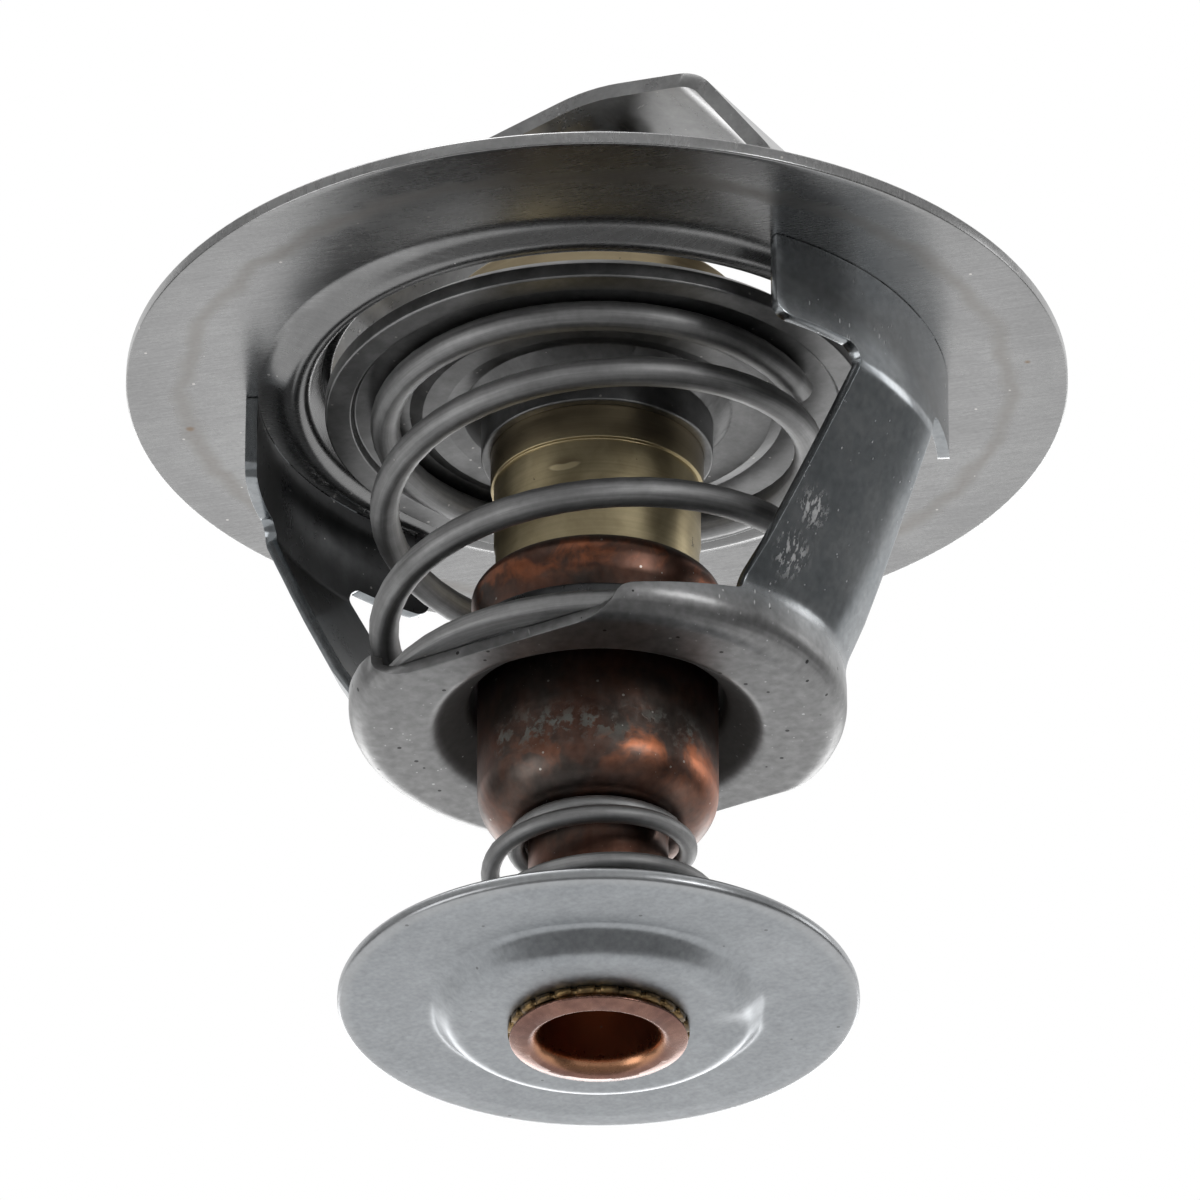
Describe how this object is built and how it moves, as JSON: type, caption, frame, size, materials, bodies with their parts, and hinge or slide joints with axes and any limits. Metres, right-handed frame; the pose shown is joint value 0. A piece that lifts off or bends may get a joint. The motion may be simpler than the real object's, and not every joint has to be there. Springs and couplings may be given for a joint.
{
  "type": "engine thermostat",
  "caption": "Wax-element engine thermostat: a round flanged valve under a folded bridge, with a caged spring, a copper wax cup and a sprung bypass disc.",
  "frame": {"origin": "on the valve's axis, in the plane of the underside of the flange's rim", "axes": "+Z along the axis, from the wax cup towards the bridge, out of the engine; the legs of the bridge and of the cage lie along X"},
  "size_m": [0.067, 0.067, 0.0739],
  "materials": {
    "flange_steel": "satin, brushed by handling, with faint stains",
    "cage_steel": "satin with bright scratches",
    "bridge_steel": "satin",
    "valve_steel": "semi-bright",
    "guide_brass": "turned, slightly dull",
    "piston_steel": "ground and polished",
    "washer_plastic": "waxy white",
    "boot_rubber": "matt",
    "wax": "wax loaded with copper powder",
    "cup_copper": "copper, tarnished dark brown with brighter patches",
    "spring_steel": "drawn wire, satin",
    "bypass_steel": "fine matt zinc grey",
    "lock_ring_bronze": "dull bronze"
  },
  "bodies": {
    "frame": {"flange": "flange_steel", "cage": "cage_steel", "bridge": "bridge_steel", "piston": "piston_steel", "main_spring": "spring_steel"},
    "element": {"valve_disc": "valve_steel", "guide": "guide_brass", "wiper_washer": "washer_plastic", "boot": "boot_rubber", "wax_charge": "wax", "wax_cup": "cup_copper", "lock_ring": "lock_ring_bronze", "bypass_spring": "spring_steel"},
    "bypass": {"bypass_disc": "bypass_steel"}
  },
  "joints": [
    {"name": "valve_lift", "type": "slide", "parent": "frame", "child": "element", "axis": [0, 0, -1], "range_m": [-0.0017, 0.0065], "stiffness_N_per_m": 3000, "deforming": ["main_spring"]},
    {"name": "bypass_slide", "type": "slide", "parent": "element", "child": "bypass", "axis": [0, 0, 1], "range_m": [0, 0.005], "stiffness_N_per_m": 2300, "deforming": ["bypass_spring"]}
  ]
}
